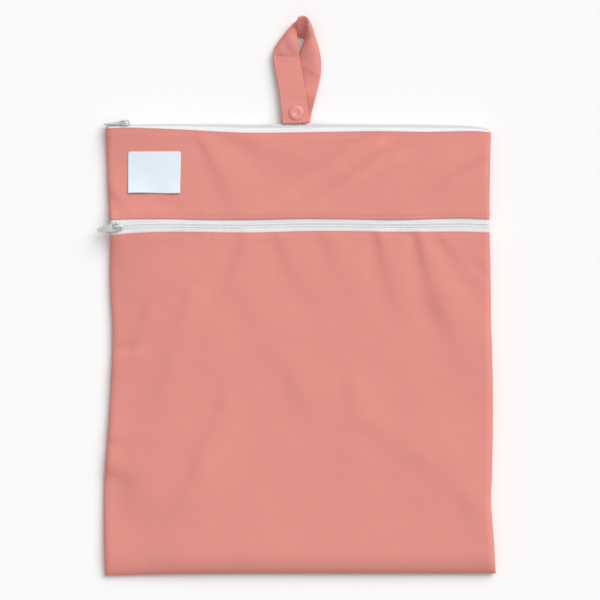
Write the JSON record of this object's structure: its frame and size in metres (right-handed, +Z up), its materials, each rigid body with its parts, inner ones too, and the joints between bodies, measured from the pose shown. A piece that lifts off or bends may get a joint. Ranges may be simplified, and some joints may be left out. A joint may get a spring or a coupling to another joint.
{
  "type": "cloth diaper wet bag",
  "caption": "Flat rectangular cloth bag with a zipped mouth, a zipped front pocket, a sewn name label and a snap-closed hanging strap, lying on its back.",
  "frame": {"origin": "middle of the back panel's flat underside, on the surface that the bag lies on", "axes": "+X to the right across the bag, +Y from the bottom seam to the strap, +Z up out of the front"},
  "size_m": [0.3146, 0.4429, 0.0188],
  "materials": {
    "bag_cloth": "matt coral waterproof knit",
    "zip_tape": "white woven tape",
    "zip_coil": "pale grey nylon coil",
    "snap_plastic": "coral glossy resin",
    "label_satin": "cool white satin",
    "slider_metal": "silver grey lacquered zinc"
  },
  "bodies": {
    "bag": {"back_panel": "bag_cloth", "lower_front_panel": "bag_cloth", "upper_front_panel": "bag_cloth", "front_zip_upper_tape": "zip_tape", "front_zip_lower_tape": "zip_tape", "front_zip_coil": "zip_coil", "top_zip_front_tape": "zip_tape", "top_zip_rear_tape": "zip_tape", "top_zip_coil": "zip_coil", "hanging_strap": "bag_cloth", "snap_front_half": "snap_plastic", "snap_back_half": "snap_plastic", "name_label": "label_satin", "front_slider": "slider_metal", "top_slider": "slider_metal"},
    "front_pull": {"front_pull": "slider_metal"},
    "top_pull": {"top_pull": "slider_metal"}
  },
  "joints": [
    {"name": "front_pull_hinge", "type": "hinge", "parent": "bag", "child": "front_pull", "pos_m": [-0.14299, 0.09669, 0.01387], "axis": [-0.1921, 0.9814, 0], "range_deg": [0, 175]},
    {"name": "top_pull_hinge", "type": "hinge", "parent": "bag", "child": "top_pull", "pos_m": [-0.13808, 0.17945, 0.00722], "axis": [-0.0078, 0.2911, -0.9567], "range_deg": [0, 175]}
  ]
}
